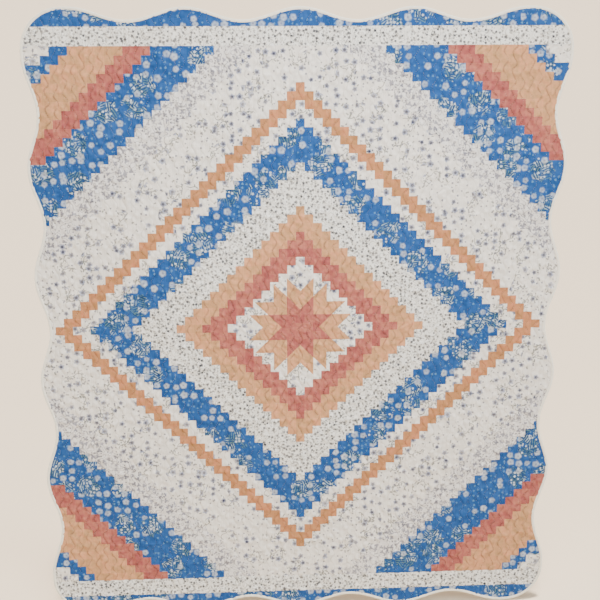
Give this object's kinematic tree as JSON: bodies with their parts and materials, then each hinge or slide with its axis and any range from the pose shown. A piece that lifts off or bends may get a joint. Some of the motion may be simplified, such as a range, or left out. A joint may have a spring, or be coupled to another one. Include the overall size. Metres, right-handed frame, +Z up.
{
  "type": "patchwork quilt",
  "caption": "Patchwork quilt of small square patches in nested diamonds round a centre star, with batting, backing and a bound scalloped edge, spread flat and upright.",
  "frame": {"origin": "middle of the backing's outer face, which lies in the plane Y = 0", "axes": "+Z up the quilt, towards its top edge; +X to the right of someone who faces the pieced top; the pieced top faces -Y and the backing +Y"},
  "size_m": [1.9432, 0.0077, 2.3312],
  "materials": {
    "white_print": "matte",
    "small_print": "matte",
    "close_print": "matte",
    "rose": "matte",
    "peach": "matte",
    "thin_peach": "matte",
    "blue_print": "matte",
    "binding": "matte",
    "backing": "matte",
    "batting": "matte"
  },
  "bodies": {
    "root": {"backing": "backing", "batting": "batting", "binding_bottom": "binding", "binding_left": "binding", "binding_right": "binding", "binding_top": "binding", "blue_band_bottom_left": "blue_print", "blue_band_bottom_right": "blue_print", "blue_band_top_left": "blue_print", "blue_band_top_right": "blue_print", "blue_ring": "blue_print", "close_print_band_bottom_left": "close_print", "close_print_band_bottom_right": "close_print", "close_print_band_top_left": "close_print", "close_print_band_top_right": "close_print", "ground": "white_print", "narrow_blue_band_bottom_left": "blue_print", "narrow_blue_band_bottom_right": "blue_print", "narrow_blue_band_top_left": "blue_print", "narrow_blue_band_top_right": "blue_print", "narrow_white_ring": "white_print", "peach_band_bottom_left": "peach", "peach_band_bottom_right": "peach", "peach_band_top_left": "peach", "peach_band_top_right": "peach", "peach_ring": "peach", "plain_strip_bottom": "small_print", "plain_strip_top": "small_print", "rose_band_bottom_left": "rose", "rose_band_bottom_right": "rose", "rose_band_top_left": "rose", "rose_band_top_right": "rose", "rose_ring": "rose", "scallop_border_bottom": "blue_print", "scallop_border_top": "blue_print", "small_print_ring": "small_print", "star_diamond_1": "rose", "star_diamond_2": "rose", "star_diamond_3": "rose", "star_diamond_4": "rose", "star_diamond_5": "rose", "star_diamond_6": "rose", "star_diamond_7": "rose", "star_diamond_8": "rose", "star_field": "white_print", "star_point_1": "peach", "star_point_2": "peach", "star_point_3": "peach", "star_point_4": "peach", "star_point_5": "peach", "star_point_6": "peach", "star_point_7": "peach", "star_point_8": "peach", "thin_peach_ring": "thin_peach", "white_corner_bottom_left": "white_print", "white_corner_bottom_right": "white_print", "white_corner_top_left": "white_print", "white_corner_top_right": "white_print"}
  },
  "joints": []
}
